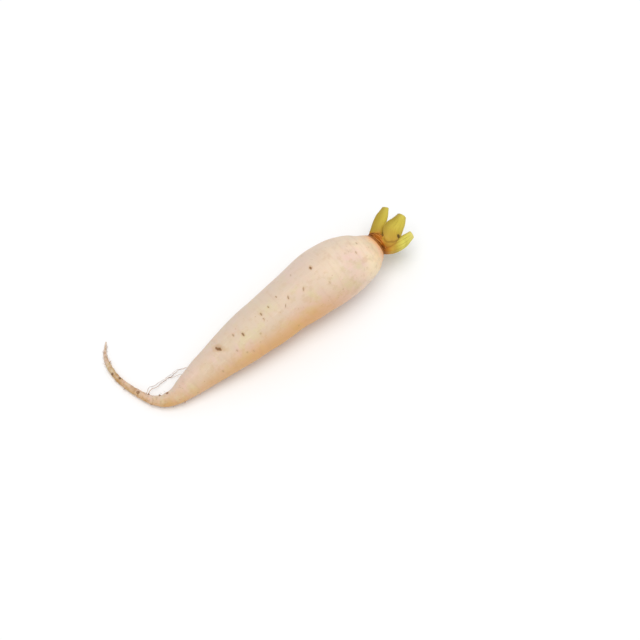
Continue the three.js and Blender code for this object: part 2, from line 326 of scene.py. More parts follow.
class Tree:
    """A node tree that is being built."""

    def __init__(self, tree):
        self.tree = tree
        tree.nodes.clear()

    def node(self, kind, settings=None, inputs=(), output=0):
        made = self.tree.nodes.new(kind)
        for key, value in (settings or {}).items():
            if key == "stops":
                ramp = made.color_ramp
                while len(ramp.elements) < len(value):
                    ramp.elements.new(0.5)
                for element, (position, color) in zip(ramp.elements, value):
                    element.position = position
                    element.color = color
            else:
                setattr(made, key, value)
        for key, value in inputs.items() if isinstance(inputs, dict) else enumerate(inputs):
            if isinstance(value, Socket):
                self.tree.links.new(value.link, made.inputs[key])
            else:
                made.inputs[key].default_value = value
        return Socket(self, made.outputs[output]) if made.outputs else made

    def step(self, value, low, high):
        """A soft step from 0 at low to 1 at high."""
        settings = {"interpolation_type": "SMOOTHSTEP"}
        inputs = {"Value": value, "From Min": low, "From Max": high}
        return self.node("ShaderNodeMapRange", settings, inputs)

    def mix(self, share, first, second):
        """The first colour, turned into the second by a share from 0 to 1."""
        inputs = {0: share, 6: first, 7: second}
        return self.node("ShaderNodeMix", {"data_type": "RGBA"}, inputs, output=2)

    def kept(self, name, output="Fac"):
        return self.node("ShaderNodeAttribute", {"attribute_name": name}, output=output)

    def grain(self, vector, scale, detail=2.0, roughness=0.5):
        inputs = {"Vector": vector, "Scale": scale, "Detail": detail, "Roughness": roughness}
        return self.node("ShaderNodeTexNoise", {}, inputs)

    def smear(self, vector, scale):
        """Small random offsets about nought, to make an outline ragged."""
        inputs = {"Vector": vector, "Scale": scale, "Detail": 2.0}
        cloud = self.node("ShaderNodeTexNoise", {}, inputs, output="Color")
        return self.node("ShaderNodeVectorMath", {"operation": "SUBTRACT"}, [cloud, (0.5, 0.5, 0.5)])

    def stretched(self, vector, x, y, z):
        return self.node("ShaderNodeVectorMath", {"operation": "MULTIPLY"}, [vector, (x, y, z)])

    def part(self, vector, axis):
        return self.node("ShaderNodeSeparateXYZ", {}, [vector], output=axis)

    def facing(self, outward, side):
        """How far an outward direction points to a side, from -1 to 1."""
        settings = {"operation": "DOT_PRODUCT"}
        return self.node("ShaderNodeVectorMath", settings, [outward, side], output="Value")

    def place(self):
        return self.node("ShaderNodeTexCoord", output="Object")


def tint(red, green, blue):
    """A screen colour, 0 to 255, as the renderer's light values."""
    values = []
    for level in (red, green, blue):
        share = level / 255
        values.append(share / 12.92 if level <= 10 else ((share + 0.055) / 1.055) ** 2.4)
    return (*values, 1.0)


def finish(name, build):
    """A material whose tree a function builds; the function gives the shader's inputs."""
    material = bpy.data.materials.new(name)
    material.use_nodes = True
    tree = Tree(material.node_tree)
    surface = tree.node("ShaderNodeBsdfPrincipled", {}, build(tree))
    tree.node("ShaderNodeOutputMaterial", {}, {"Surface": surface})
    return material


ROSY_SKIN = tint(232, 199, 188)
STRAW_SKIN = tint(221, 206, 162)
TAN_MOTTLE = tint(212, 182, 142)
PALE_STREAK = tint(244, 228, 208)
BROWN_BAND = tint(206, 172, 140)
GREY_SHADE = tint(212, 192, 176)
WARM_SHADE = tint(225, 165, 88)
SPECK = tint(176, 134, 84)
CREASE_SHADE = tint(196, 152, 116)
NECK_BLUSH = tint(236, 166, 96)
NECK_STAIN = tint(154, 90, 24)
TAIL_GRAIN = tint(160, 116, 62)
TAIL_BAND = tint(164, 116, 60)
SCAR_HALO = tint(196, 154, 100)
SCAR_SLIT = tint(134, 92, 52)
SIDE_ROOT_FOOT = tint(112, 72, 36)


def root_skin(t):
    place = t.place()
    along = t.kept("along")
    outward = t.kept("outward", "Vector")
    pit = t.kept("pit", "Vector")
    crease = t.kept("crease")
    node = t.kept("node")
    wrap = t.kept("wrap", "Vector")

    drift = t.grain(place, 22.0, 3.0)
    patches = t.grain(place, 46.0, 4.0, 0.6)
    streaks = t.grain(t.stretched(wrap, 0.35, 5.0, 5.0), 1.0, 4.0, 0.65)
    bands = t.grain(t.stretched(wrap, 3.4, 0.8, 0.8), 1.0, 5.0, 0.7)
    fine = t.grain(place, 420.0, 3.0)

    length = t.node(
        "ShaderNodeValToRGB",
        {
            "stops": [
                (0.0, tint(244, 170, 100)),
                (0.018, tint(248, 206, 154)),
                (0.05, tint(248, 224, 189)),
                (0.12, tint(238, 215, 187)),
                (0.22, tint(226, 201, 178)),
                (0.45, tint(220, 198, 172)),
                (0.63, tint(219, 194, 160)),
                (0.7, tint(216, 178, 128)),
                (0.78, tint(204, 162, 98)),
                (0.9, tint(184, 146, 90)),
                (1.0, tint(204, 190, 164)),
            ]
        },
        {"Fac": along + (drift - 0.5) * 0.04},
    )
    color = t.mix(t.step(drift, 0.42, 0.62) * 0.7, length, ROSY_SKIN)
    color = t.mix(t.step(patches, 0.48, 0.66) * 0.7, color, STRAW_SKIN)
    color = t.mix(t.step(t.grain(place, 150.0, 3.0, 0.6), 0.5, 0.68) * 0.4, color, TAN_MOTTLE)
    color = t.mix(t.step(streaks, 0.52, 0.78) * 0.25, color, PALE_STREAK)
    color = t.mix(t.step(bands, 0.56, 0.74) * 0.16, color, BROWN_BAND)
    # painted shade: the skin is greyer and darker towards one upper side, broken up by the patches
    grey_shade_facing = t.facing(outward, GREY_SHADE_SIDE)
    color = t.mix(t.step(grey_shade_facing + (patches - 0.5) * 0.5, 0.05, 0.95) * 0.6, color, GREY_SHADE)
    # painted warm shade: an orange tan on the lower flank, faint by the crown, weaker towards the tail
    # and gone at its tip
    warm_shade_facing = t.facing(outward, WARM_SHADE_SIDE)
    warm_shade_share = t.step(warm_shade_facing + along * 0.3 + (drift - 0.5) * 0.4, -0.25, 0.85) * t.step(along, 0.04, 0.3)
    warm_shade_share = warm_shade_share * t.step(along, 1.0, 0.85) * (1.0 - t.step(along, 0.4, 0.65) * 0.35)
    color = t.mix(warm_shade_share * 0.8, color, WARM_SHADE)
    for scale, wide, shade in ((95.0, 0.13, 0.4), (230.0, 0.16, 0.45)):
        specks = t.node("ShaderNodeTexVoronoi", {}, {"Vector": place, "Scale": scale, "Randomness": 1.0})
        spots = t.step(specks, wide, 0.4 * wide) * t.step(t.grain(place, scale / 2), 0.5, 0.6)
        color = t.mix(spots * shade, color, SPECK)
    color = t.mix(crease * 0.3, color, CREASE_SHADE)
    tail_side = t.part(outward, "Y")
    by_neck = along - t.step(tail_side, -0.2, 0.8) * 0.0035 + (fine - 0.5) * 0.003
    color = t.mix(t.step(by_neck, 0.024, 0.006) * 0.6, color, NECK_BLUSH)
    color = t.mix(t.step(by_neck, 0.009, 0.0055) * 0.95, color, NECK_STAIN)
    tailward = t.step(along, 0.66, 0.8)
    color = t.mix(tailward * t.step(fine, 0.48, 0.62) * 0.3, color, TAIL_GRAIN)
    color = t.mix(tailward * t.step(bands, 0.5, 0.7) * 0.45, color, TAIL_BAND)

    ragged = {0: t.smear(place, 330.0), "Scale": 0.4}
    bent = pit + t.node("ShaderNodeVectorMath", {"operation": "SCALE"}, ragged)
    off_along = t.part(bent, "X")
    off_across = t.part(bent, "Y")
    strength = t.part(pit, "Z")
    halo = (off_along / 0.5) ** 2 + (off_across / 0.68) ** 2
    slit = (off_along / 0.17) ** 2 + (off_across / 0.4) ** 2
    color = t.mix(t.step(halo, 1.1, 0.1) * strength * 0.45, color, SCAR_HALO)
    color = t.mix(t.step(slit, 1.2, 0.4) * t.step(strength, 0.1, 0.9) * 0.9, color, SCAR_SLIT)
    color = t.mix(t.step(node, 0.25, 0.75) * 0.85, color, SIDE_ROOT_FOOT)

    relief = bands * 0.6 + streaks * 0.25 + fine * 0.3
    bump = t.node("ShaderNodeBump", {}, {"Strength": 0.35, "Distance": 0.0005, "Height": relief})
    return {
        "Base Color": color,
        "Roughness": 0.42 + patches * 0.16 + node * 0.2,
        "IOR": 1.4,
        "Specular IOR Level": 0.4,
        "Subsurface Weight": 0.25,
        "Subsurface Radius": (1.0, 0.55, 0.3),
        "Subsurface Scale": 0.004,
        "Normal": bump,
    }


fine_sections = np.linspace(0, LAST_SECTION, 6001)
fine_steps = np.diff(spline(root_centres, fine_sections), axis=0)
fine_lengths = np.concatenate([[0], np.cumsum(np.linalg.norm(fine_steps, axis=1))])
root_length = fine_lengths[-1]


def length_at(section):
    return float(np.interp(section, fine_sections, fine_lengths))


def radius_at(section):
    return float(spline(root_radii[:, None], [section])[0, 0])


row_lengths = [0.0]
while row_lengths[-1] < root_length:
    radius_here = radius_at(np.interp(row_lengths[-1], fine_lengths, fine_sections))
    row_lengths.append(row_lengths[-1] + (BODY_STEP if radius_here > TAIL_RADIUS else TAIL_STEP))
row_lengths[-1] = root_length
row_lengths = np.array(row_lengths)
row_sections = np.interp(row_lengths, fine_lengths, fine_sections)

centre, radius, along, side, up = root_frame(row_sections)
angles = np.arange(ROOT_SIDES) * 2 * np.pi / ROOT_SIDES
outward = np.cos(angles)[None, :, None] * up[:, None] + np.sin(angles)[None, :, None] * side[:, None]
lengths = row_lengths[:, None]


def angle_between(angle):
    """Angles of the grid's columns from an angle, between minus and plus half a turn."""
    return (angles[None] - angle + np.pi) % (2 * np.pi) - np.pi


# Slow swells of the body and small knots of the thin end, then creases: short dents that run
# across the root, closer together towards the tail
swell = np.zeros((len(row_lengths), ROOT_SIDES))
for k, here in enumerate(centre):
    for i, way in enumerate(outward[k]):
        swell[k, i] = noise.noise(Vector((here + way * radius[k]) / SWELL_LENGTH))
relief = SWELL_HEIGHT * swell * smooth(2, 12, radius)
knots = np.sin(2.1 * lengths / 3 + 1.7 * np.sin(lengths / 5.3)) * np.cos(angles[None] + lengths / 9)
relief += KNOT_HEIGHT * knots * smooth(9, 3.5, radius) * smooth(0.5, 1.6, radius)
crease_depth = np.zeros_like(relief)
rng = random.Random(CREASE_SEED)
for _ in range(CREASES):
    spot = root_length * rng.random() ** 0.7
    local = float(np.interp(spot, row_lengths, radius[:, 0]))
    wide = rng.uniform(0.25, 1.1)
    turn = rng.uniform(-math.pi, math.pi)
    slant = rng.uniform(-0.5, 0.5)
    depth = rng.uniform(0.03, 0.15) * min(1.0, local / 8)
    off = angle_between(turn)
    line = lengths - spot - slant * local * off * 0.3 - 0.5 * np.sin(5 * off + turn)
    crease_depth += depth * np.exp(-((line / CREASE_WIDTH) ** 2)) * smooth(wide, 0.3 * wide, np.abs(off))
for spot, turn, wide in SHOULDER_CREASES:
    off = angle_between(math.radians(turn))
    line = lengths - spot - 0.7 * np.sin(2.2 * off + spot)
    dent = SHOULDER_CREASE_DEPTH * np.exp(-((line / SHOULDER_CREASE_WIDTH) ** 2))
    crease_depth += dent * smooth(math.radians(wide), 0.4, np.abs(off))
relief -= crease_depth

# The shoulder's last few millimetres are ringed, where the leaf bases pull the skin in
shoulder_rings = SHOULDER_RING_HEIGHT * np.sin(lengths * SHOULDER_RING_TURN)
relief += shoulder_rings * smooth(9, 2, lengths) * smooth(0, 1, lengths)

# Where each point is from its nearest scar, in widths of the scar, and how dark that scar is
pit_place = np.zeros(relief.shape + (3,))
pit_reach = np.full(relief.shape + (2,), np.inf)  # to the nearest scar and to the next


def press_scar(relief, section, angle, width, darkness, slant):
    """The relief with one more slit across the root, with raised lips, in a shallow dimple."""
    y = radius_at(section) * angle_between(angle) + 0 * lengths
    x = lengths - length_at(section) - slant * y
    slit = np.exp(-((x / (SLIT_HALF_WIDTH * width)) ** 2) - (y / (SLIT_HALF_LENGTH * width)) ** 2)
    from_lip = (np.abs(x) - LIP_PLACE * width) / (LIP_WIDTH * width)
    lips = np.exp(-(from_lip**2) - (y / (LIP_HALF_LENGTH * width)) ** 2)
    dimple = np.exp(-(x**2 + y**2) / (DIMPLE_RADIUS * width) ** 2)
    apart = np.hypot(x, y) / width
    near = apart < pit_reach[..., 0]
    place = np.stack([x / width, y / width, darkness * smooth(1.25, 0.95, apart)], -1)
    pit_place[near] = place[near]
    pit_reach[:] = np.sort(np.concatenate([pit_reach, apart[..., None]], -1), -1)[..., :2]
    relief = relief + darkness * (LIP_HEIGHT * width * lips - SLIT_DEPTH * width * slit)
    return relief - DIMPLE_DEPTH * width * dimple


def section_at(distance):
    """The section number at a distance behind the crown seat, as far as the tail's bend."""
    bend = int(np.argmax(back))
    return float(np.interp(distance, back[:bend], np.arange(bend)))


def seeded(state, factor=16807, limit=2147483647):
    """Random numbers from 0 to 1, which the source of the solids draws in the same way."""
    while True:
        state = state * factor % limit
        yield state / limit


hidden_scars = []
draws = seeded(SCAR_SEED)
for i in range(HIDDEN_SCARS):
    spot = HIDDEN_SCARS_START + HIDDEN_SCARS_REACH * (i + 0.7 * next(draws)) / HIDDEN_SCARS
    turn = (95 if i % 2 else -125) + 60 * (next(draws) - 0.5)
    width = 3 + 2.4 * next(draws)
    hidden_scars.append((spot, turn, width, 0.4 + 0.25 * (width - 3), 0.3 * math.sin(7 * i)))
for spot, turn, width, darkness, slant in SCARS + hidden_scars:
    relief = press_scar(relief, section_at(spot), math.radians(turn), width, darkness, slant)
pit_place[..., 2] *= smooth(0.25, 0.6, pit_reach[..., 1] - pit_reach[..., 0])
node_mask = np.zeros_like(relief)
for section, turn, _, thickness in ROOTLETS:
    x = lengths - length_at(section)
    y = radius_at(section) * angle_between(math.radians(turn))
    collar = np.exp(-(x**2 + y**2) / (COLLAR_RADIUS * thickness) ** 2)
    relief = relief + COLLAR_HEIGHT * collar
    node_mask = np.maximum(node_mask, collar * (PALE_COLLAR if turn < PALE_COLLAR_ANGLE else 1))

reach = radius * (1 + unevenness(row_sections[:, None], angles[None])) + relief
rings = centre[:, None] + outward * reach[..., None]
rings[..., 2] = np.maximum(rings[..., 2], 0)  # it lies on the surface and isn't sunk in it

# places on the root as if it were straight, in centimetres
wrap = np.stack(
    [
        np.broadcast_to(lengths / 10, relief.shape),
        np.cos(angles)[None] * radius / 10,
        np.sin(angles)[None] * radius / 10,
    ],
    -1,
)
root_layers = {
    "along": lengths / root_length,
    "outward": outward,
    "pit": pit_place,
    "node": node_mask,
    "crease": np.clip(crease_depth / 0.3, 0, 1),
    "wrap": wrap,
}
root_finish = finish("root skin", root_skin)
root_mesh = skin_mesh("root_skin", [(rings, root_layers)])
show("root_skin", root_mesh, root_finish, ["root"])

# ---- Side roots and root hairs ----
# What is left of the side roots: short stumps and fine hairs along the thin end and the tail, and
# three long hairs that lie in the bend of the tail. They are dry root fibre and grew from the root.

STUMP_POINTS = 9
STUMP_SINK = 0.4  # how far a stump starts inside the skin, as a share of its length
LOWEST_STUMP = 0.4  # height above the surface

# thickness of each long hair and the places that it passes
LONG_HAIRS = [
    (
        0.5,
        [
            (-132.6, -12.4, 5),
            (-131.6, -11, 5.9),
            (-126.7, -9.2, 4.2),
            (-120.4, -9.7, 3),
            (-113.8, -8.8, 2.4),
            (-108.9, -8.6, 2.2),
            (-104.6, -9.1, 2.2),
            (-100.7, -8.5, 2.6),
            (-96.8, -8.7, 3.6),
            (-92.7, -11, 5.5),
            (-88.2, -14.8, 9),
        ],
    ),
    (
        0.32,
        [
            (-133.8, -11.6, 4.6),
            (-132.5, -9.4, 5.6),
            (-127.7, -6.4, 4),
            (-122, -7.2, 2.6),
            (-114.4, -7.1, 2),
            (-108.5, -7.3, 1.8),
            (-101.3, -6.9, 2.2),
            (-95.3, -8.3, 3.4),
            (-90, -12.2, 6.5),
        ],
    ),
    (
        0.3,
        [
            (-108.9, -8.6, 2.2),
            (-104, -10.7, 2.4),
            (-99.1, -12.4, 3.2),
            (-95.5, -14.8, 5),
            (-91.4, -16.7, 8),
        ],
    ),
]
LONG_HAIR_STEPS = 6
FINE_HAIRS = 70
FINE_HAIR_POINTS = 8
FINE_HAIR_THICKNESS = 0.16
FINE_HAIR_LENGTHS = (1.0, 3.0)
FINE_HAIR_TURN = 2.4  # the widest angle from the top
FINE_HAIR_SINK = 0.15  # how far a hair starts inside the skin, as a share of its length
LOWEST_FINE_HAIR = 0.15
FIRST_HAIRY_SECTION = 11.5
HAIRY_SECTIONS = 11
HAIR_SEED = 5
STRAND_SIDES = 7


def tree_with(name, inputs):
    """A Geometry Nodes tree with named inputs, given as name, socket kind and value."""
    group = bpy.data.node_groups.new(name, "GeometryNodeTree")
    group.interface.new_socket("Geometry", in_out="INPUT", socket_type="NodeSocketGeometry")
    for key, (kind, value) in inputs.items():
        socket = group.interface.new_socket(key, in_out="INPUT", socket_type=kind)
        if kind != "NodeSocketMaterial":
            socket.default_value = value
    group.interface.new_socket("Geometry", in_out="OUTPUT", socket_type="NodeSocketGeometry")
    return Tree(group), group


def grown(name, source, group, inputs):
    """The plain mesh that a tree makes from a source mesh."""
    carrier = bpy.data.objects.new(name + "_carrier", source)
    bpy.context.scene.collection.objects.link(carrier)
    modifier = carrier.modifiers.new(name, "NODES")
    modifier.node_group = group
    for item in group.interface.items_tree:
        if item.in_out == "INPUT" and item.name in inputs:
            modifier[item.identifier] = inputs[item.name][1]
    graph = bpy.context.evaluated_depsgraph_get()
    mesh = bpy.data.meshes.new_from_object(carrier.evaluated_get(graph))
    mesh.name = name
    carrier.modifiers.remove(modifier)
    bpy.data.objects.remove(carrier)
    return mesh


def strand_mesh(name, strands):
    """Open lines of points in millimetres with a thickness at each point, as edges."""
    points, edges, radii = [], [], []
    for line, thickness in strands:
        start = len(points)
        points += [tuple(p * MM) for p in line]
        radii += [wide * MM / 2 for wide in thickness]
        edges += [(start + k, start + k + 1) for k in range(len(line) - 1)]
    mesh = bpy.data.meshes.new(name)
    mesh.from_pydata(points, edges, [])
    mesh.attributes.new("strand_radius", "FLOAT", "POINT").data.foreach_set("value", radii)
    return mesh


def on_root(section, angle):
    """A point on the root's skin with the outward direction and the direction to the tail."""
    centre, radius, along, side, up = (v[0] for v in root_frame([section]))
    outward = math.cos(angle) * up + math.sin(angle) * side
    return centre + outward * radius[0] * (1 + unevenness(section, angle)), outward, along


strands = []
rng = random.Random(HAIR_SEED)
for section, turn, length, thickness in ROOTLETS:
    point, outward_way, tailward = on_root(section, math.radians(turn))
    steps = np.linspace(-STUMP_SINK, 1, STUMP_POINTS)
    sway = rng.uniform(-0.25, 0.25)
    line = np.array(
        [
            point
            + outward_way * length * s
            + tailward * length * (0.6 * max(s, 0) ** 2 + 0.06 * math.sin(7 * s + section))
            + np.array([0, 0, -1]) * length * 0.2 * max(s, 0) ** 2
            + np.cross(outward_way, tailward) * length * sway * max(s, 0) ** 1.5
            for s in steps
        ]
    )
    line[:, 2] = np.maximum(line[:, 2], LOWEST_STUMP)
    strands.append((line, thickness * np.interp(steps, [-STUMP_SINK, 0.1, 1], [1.3, 0.9, 0.35])))
for thickness, places in LONG_HAIRS:
    steps = np.linspace(0, len(places) - 1, LONG_HAIR_STEPS * len(places))
    line = spline(places, steps)
    line[:, 1] += 0.25 * np.sin(steps * 4.1) + 0.12 * np.sin(steps * 9.7)
    strands.append((line, thickness * np.interp(steps, [0, 1, len(places) - 1], [1.5, 1, 0.6])))

for _ in range(FINE_HAIRS):
    section = FIRST_HAIRY_SECTION + HAIRY_SECTIONS * rng.random() ** 0.8
    point, outward_way, tailward = on_root(section, rng.uniform(-FINE_HAIR_TURN, FINE_HAIR_TURN))
    length = rng.uniform(*FINE_HAIR_LENGTHS)
    sway = np.cross(outward_way, tailward) * rng.uniform(-0.7, 0.7)
    curl = rng.uniform(0.3, 1.1)
    steps = np.linspace(-FINE_HAIR_SINK, 1, FINE_HAIR_POINTS)[:, None]
    line = point + length * (
        outward_way * (steps - 0.4 * steps**2)
        + tailward * curl * steps**2
        + sway * np.maximum(steps, 0) ** 1.5
    )
    sag = 0.15 * length * np.maximum(steps[:, 0], 0) ** 2
    line[:, 2] = np.maximum(line[:, 2] - sag, LOWEST_FINE_HAIR)
    strands.append((line, FINE_HAIR_THICKNESS * np.linspace(1.2, 0.4, FINE_HAIR_POINTS)))

strand_inputs = {"Sides": ("NodeSocketInt", STRAND_SIDES), "Finish": ("NodeSocketMaterial", None)}
strand_tree, strand_group = tree_with("strands", strand_inputs)
source = strand_tree.node("NodeGroupInput", output="Geometry")
sides = strand_tree.node("NodeGroupInput", output="Sides")
coat = strand_tree.node("NodeGroupInput", output="Finish")
strand_radius = strand_tree.node(
    "GeometryNodeInputNamedAttribute", {"data_type": "FLOAT"}, {"Name": "strand_radius"}
)
lines = strand_tree.node("GeometryNodeMeshToCurve", {}, {"Mesh": source})
profile = strand_tree.node("GeometryNodeCurvePrimitiveCircle", {}, {"Resolution": sides, "Radius": 1.0})
tubes = strand_tree.node(
    "GeometryNodeCurveToMesh",
    {},
    {"Curve": lines, "Profile Curve": profile, "Scale": strand_radius, "Fill Caps": True},
)
tubes = strand_tree.node("GeometryNodeSetShadeSmooth", {}, {"Geometry": tubes})
tubes = strand_tree.node("GeometryNodeRealizeInstances", {}, {"Geometry": tubes})
tubes = strand_tree.node("GeometryNodeSetMaterial", {}, {"Geometry": tubes, "Material": coat})
strand_tree.node("NodeGroupOutput", {}, {"Geometry": tubes})


PALE_FIBRE = tint(196, 150, 104)
DARK_FIBRE = tint(128, 88, 58)


def hair_skin(t):
    tone = t.grain(t.place(), 300.0, 3.0)
    color = t.mix(t.step(tone, 0.35, 0.65), PALE_FIBRE, DARK_FIBRE)
    bump = t.node("ShaderNodeBump", {}, {"Strength": 0.3, "Distance": 0.0002, "Height": tone})
    return {"Base Color": color, "Roughness": 0.6, "Normal": bump}


hair_finish = finish("root hair", hair_skin)
strand_inputs["Finish"] = ("NodeSocketMaterial", hair_finish)
strand_lines = strand_mesh("side_roots_lines", strands)
side_roots = grown("side_roots", strand_lines, strand_group, strand_inputs)
show("side_roots", side_roots, hair_finish, ["root"])

# ---- The crown ----
# The woody neck that grew on top of the root. It is ringed by creases between old leaf bases, and
# the dry brown stumps of older leaves stand round its foot, grown together with it.

CROWN_TURN = math.radians(9)
# height above the seat and radius
CROWN_PROFILE = [(0, 10.4), (1.5, 11.2), (4, 10.9), (6.6, 9.4), (9, 6.8), (10.4, 3.4)]
NECK_SINK = 1.5  # how far the neck starts below its seat, inside the root
NECK_SIDES = 144
NECK_ROWS = 72
NECK_CREASE_SPACING = 2.4
NECK_CREASE_DEPTH = 0.55

# crescents where older leaves fell off, set round the neck in a spiral
LEAF_SCARS = 20
LEAF_SCAR_TURN = math.radians(137.5)
LEAF_SCAR_START = 0.8
LEAF_SCARS_RISE = 8.4
LEAF_SCAR_HEIGHT = 0.35

# stumps of older leaves: angle round the neck, width, length and outward lean
SCALES = [
    (-98, 11, 5.2, 0.3),
    (-38, 9, 2.6, 0.26),
    (44, 9, 2.8, 0.3),
    (112, 11, 4.4, 0.3),
    (178, 10, 5, 0.3),
]
SCALE_THICKNESS = 1.8
SCALE_SINK = 1.4  # how far the inner side lies inside the neck
SCALE_START = 1  # height of their feet above the seat
SCALE_ROWS = 16
SCALE_COLUMNS = 30

crown_axis = np.array([math.cos(CROWN_TURN), math.sin(CROWN_TURN), 0])
crown_up = np.array([0, 0, 1.0])
crown_side = np.cross(crown_up, crown_axis)


def on_neck(height, distance, angle):
    """Points of the neck from height, distance from the axis and angle."""
    height, distance, angle = (np.asarray(v, float)[..., None] for v in (height, distance, angle))
    return (
        CROWN_SEAT
        + crown_axis * height
        + crown_up * distance * np.cos(angle)
        + crown_side * distance * np.sin(angle)
    )


def neck_shell():
    share = np.linspace(0, 1, NECK_ROWS)
    rise, wide = spline(CROWN_PROFILE, share * (len(CROWN_PROFILE) - 1)).T
    turn = np.arange(NECK_SIDES) * 2 * np.pi / NECK_SIDES
    wave = 0.1 * np.sin(5 * turn) + 0.06 * np.sin(2 * turn + 1) + 0.03 * np.sin(23 * turn)
    fold = np.abs(np.cos(np.pi * (rise[:, None] / NECK_CREASE_SPACING + wave)))
    fade = np.minimum(1, np.minimum(6 * share, 4 * (1 - share)))[:, None]
    fibres = 0.1 * np.sin(41 * turn + 3 * np.sin(6 * turn)) * np.sin(1.3 * rise[:, None] + 9 * turn)
    lip = np.zeros(fold.shape)
    for i in range(LEAF_SCARS):
        off = (turn[None] - i * LEAF_SCAR_TURN + np.pi) % (2 * np.pi) - np.pi
        line = rise[:, None] - LEAF_SCAR_START - LEAF_SCARS_RISE * i / LEAF_SCARS - 1.8 * off**2
        ledge = np.where(line > 0, np.exp(-((line / 0.25) ** 2)), np.exp(-((line / 0.8) ** 2)))
        lip = np.maximum(lip, ledge * smooth(0.85, 0.35, np.abs(off)))
    uneven = NECK_CREASE_DEPTH * (fold - 0.6) + fibres + LEAF_SCAR_HEIGHT * lip
    reach = wide[:, None] + fade * uneven
    rise = rise[:, None] + np.zeros_like(reach)
    rise[0] = -NECK_SINK
    turn = turn[None] + np.zeros_like(reach)
    wrap = np.stack([rise / 10, np.cos(turn), np.sin(turn)], -1)
    layers = {"rise": rise, "fold": 1 - fold, "lip": lip, "tip": 0 * rise, "wrap": wrap}
    return on_neck(rise, reach, turn), layers


def scale_shell(degrees, width, length, lean):
    middle = math.radians(degrees)
    foot = CROWN_PROFILE[1][1]
    share = np.linspace(0, 1, SCALE_ROWS + 1)[:, None]
    column = np.linspace(-1, 1, SCALE_COLUMNS + 1)[None]
    half = width / 2 * np.sqrt(1 - 0.75 * share**2)
    ragged = 1 + 0.1 * np.sin(9 * column + degrees) + 0.06 * np.sin(23 * column + degrees)
    torn = 1 - 0.28 * np.abs(column) ** 3
    rise = SCALE_START + length * share * (1 + (ragged * torn - 1) * share)
    inner = foot - SCALE_SINK + lean * length * share**2 + 0 * column
    thick = SCALE_THICKNESS * (1 - 0.55 * share) * np.sqrt(1.02 - column**2)
    thick = thick * (1 + 0.08 * np.sin(31 * column))
    turn = middle - column * half / foot
    outside = on_neck(rise, inner + thick, turn)
    inside = on_neck(rise, inner, turn)[:, ::-1]
    rings = np.concatenate([outside, inside], 1)
    rise = np.concatenate([rise, rise[:, ::-1]], 1)
    turn = np.concatenate([turn, turn[:, ::-1]], 1)
    tip = share + np.zeros_like(rise)
    wrap = np.stack([rise / 10, np.cos(turn), np.sin(turn)], -1)
    return rings, {"rise": rise, "fold": 0 * rise, "lip": 0 * rise, "tip": tip, "wrap": wrap}


DARK_FIBRES = tint(112, 58, 10)
LIGHT_FIBRES = tint(218, 138, 50)
FOLD_SHADE = tint(106, 54, 10)
NECK_LIP_HIGHLIGHT = tint(232, 154, 80)
TORN_TIP = tint(88, 52, 20)
NECK_SIDE_SHADE = tint(104, 58, 8)


def crown_bark(t):
    wrap = t.kept("wrap", "Vector")
    rise = t.kept("rise")
    fold = t.kept("fold")
    lip = t.kept("lip")
    tip = t.kept("tip")
    fibres = t.grain(t.stretched(wrap, 0.8, 9.0, 9.0), 1.0, 4.0, 0.65)
    blotch = t.grain(t.place(), 160.0, 3.0)
    color = t.node(
        "ShaderNodeValToRGB",
        {
            "stops": [
                (0.0, tint(112, 60, 8)),
                (0.1, tint(160, 90, 10)),
                (0.24, tint(178, 98, 12)),
                (0.5, tint(182, 110, 22)),
                (0.8, tint(178, 134, 38)),
                (1.0, tint(180, 152, 52)),
            ]
        },
        {"Fac": rise / 11 + (blotch - 0.5) * 0.6},
    )
    color = t.mix(t.step(fibres, 0.52, 0.72) * 0.6, color, DARK_FIBRES)
    color = t.mix(t.step(fibres, 0.44, 0.3) * 0.6, color, LIGHT_FIBRES)
    color = t.mix(t.step(fold, 0.55, 1.0) * 0.3, color, FOLD_SHADE)
    # painted highlight: the raised lips of the leaf scars are light orange
    color = t.mix(t.step(lip + (blotch - 0.5) * 0.9, 0.3, 1.0) * 0.75, color, NECK_LIP_HIGHLIGHT)
    color = t.mix(t.step(tip + (fibres - 0.5) * 0.6, 0.5, 1.0) * 0.7, color, TORN_TIP)
    # painted shade: the neck is darker brown on one side
    shade_facing = t.part(wrap, "Z")
    color = t.mix(t.step(shade_facing + (blotch - 0.5) * 0.8, -0.1, 0.9) * 0.65, color, NECK_SIDE_SHADE)
    height = fibres * 0.8 + blotch * 0.3
    bump = t.node("ShaderNodeBump", {}, {"Strength": 0.7, "Distance": 0.0007, "Height": height})
    return {
        "Base Color": color,
        "Roughness": 0.6 + fibres * 0.25,
        "Specular IOR Level": 0.15,
        "Normal": bump,
    }


crown_finish = finish("dry leaf bases", crown_bark)
crown_shells = [neck_shell()] + [scale_shell(*spec) for spec in SCALES]
crown_mesh = skin_mesh("crown_neck", crown_shells)
show("crown_neck", crown_mesh, crown_finish, ["crown"])

# ---- Leaf stubs ----
# Leaf stalks cut off a few centimetres above the root. Each is ribbed outside, has a shallow
# channel inside, and sheathes the neck with a broad brown base. The cut ends are pale and a
# little sunken. All grow out of the neck.

